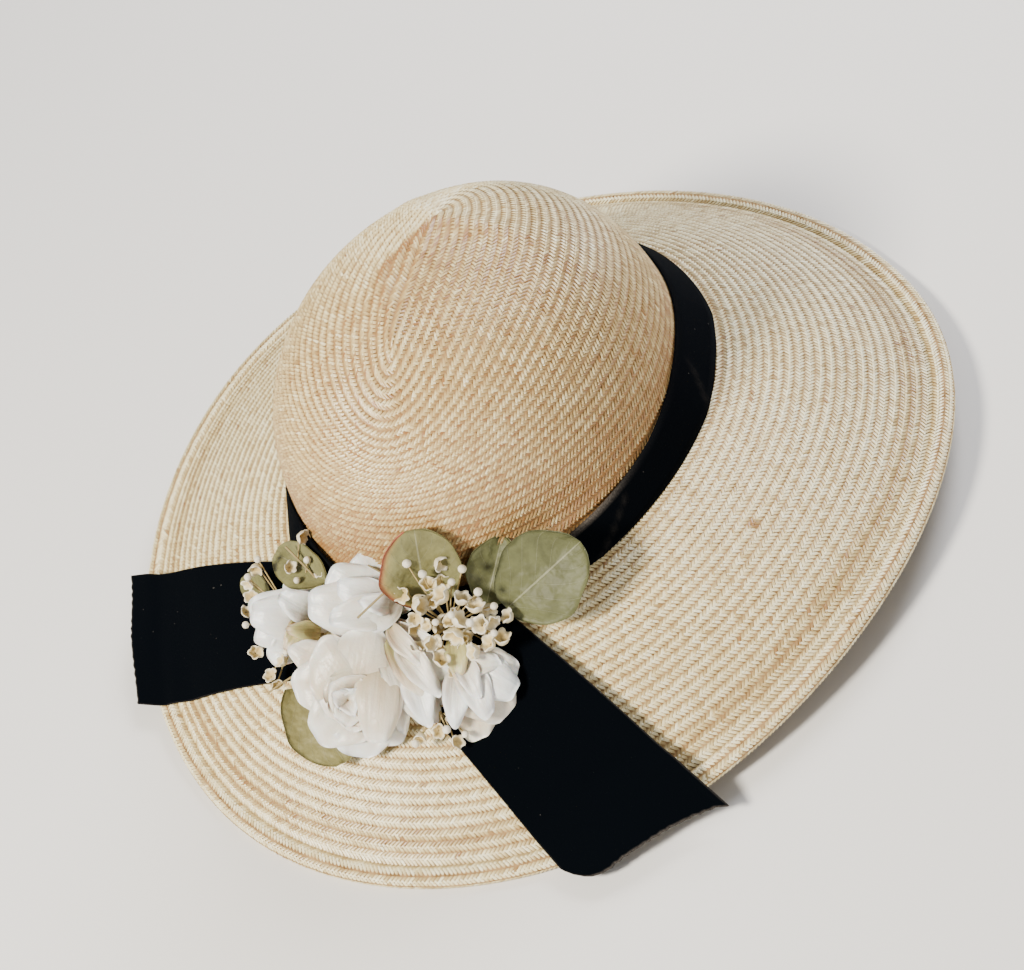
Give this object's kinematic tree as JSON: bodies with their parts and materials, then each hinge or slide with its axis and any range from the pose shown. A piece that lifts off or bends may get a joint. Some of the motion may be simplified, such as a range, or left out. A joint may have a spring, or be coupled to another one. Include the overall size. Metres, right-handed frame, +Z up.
{
  "type": "straw hat",
  "caption": "Wide-brimmed woven straw hat with a domed crown, black velvet ribbon with two tails, and a trim of white blooms, leaves and florets.",
  "frame": {"origin": "centre of the hat's box, on the plane that the rim rests on", "axes": "+Z up through the crown, +Y along the long way of the head opening towards the flower trim"},
  "size_m": [0.362, 0.3664, 0.1539],
  "materials": {
    "straw": "woven natural straw, cream floats over darker gaps, satin",
    "black_velvet": "stiff black velvet ribbon with a faint pale pile at its edges",
    "white_petal": "preserved white petal, soft pearly sheen",
    "dried_leaf": "dried grey-green leaf, matte, with pale veins",
    "cream_floret": "small dried cream florets and white buds, matte"
  },
  "bodies": {
    "root": {"crown": "straw", "brim": "straw", "ribbon_band": "black_velvet", "ribbon_tail_back": "black_velvet", "ribbon_tail_front": "black_velvet", "bloom_main": "white_petal", "bloom_top": "white_petal", "bloom_left": "white_petal", "bloom_mid": "white_petal", "bloom_right": "white_petal", "leaf_upper": "dried_leaf", "leaf_wide": "dried_leaf", "leaf_behind": "dried_leaf", "leaf_back": "dried_leaf", "leaf_lower": "dried_leaf", "floret_spray_right": "cream_floret", "floret_spray_left": "cream_floret", "floret_spray_lower": "cream_floret"}
  },
  "joints": []
}
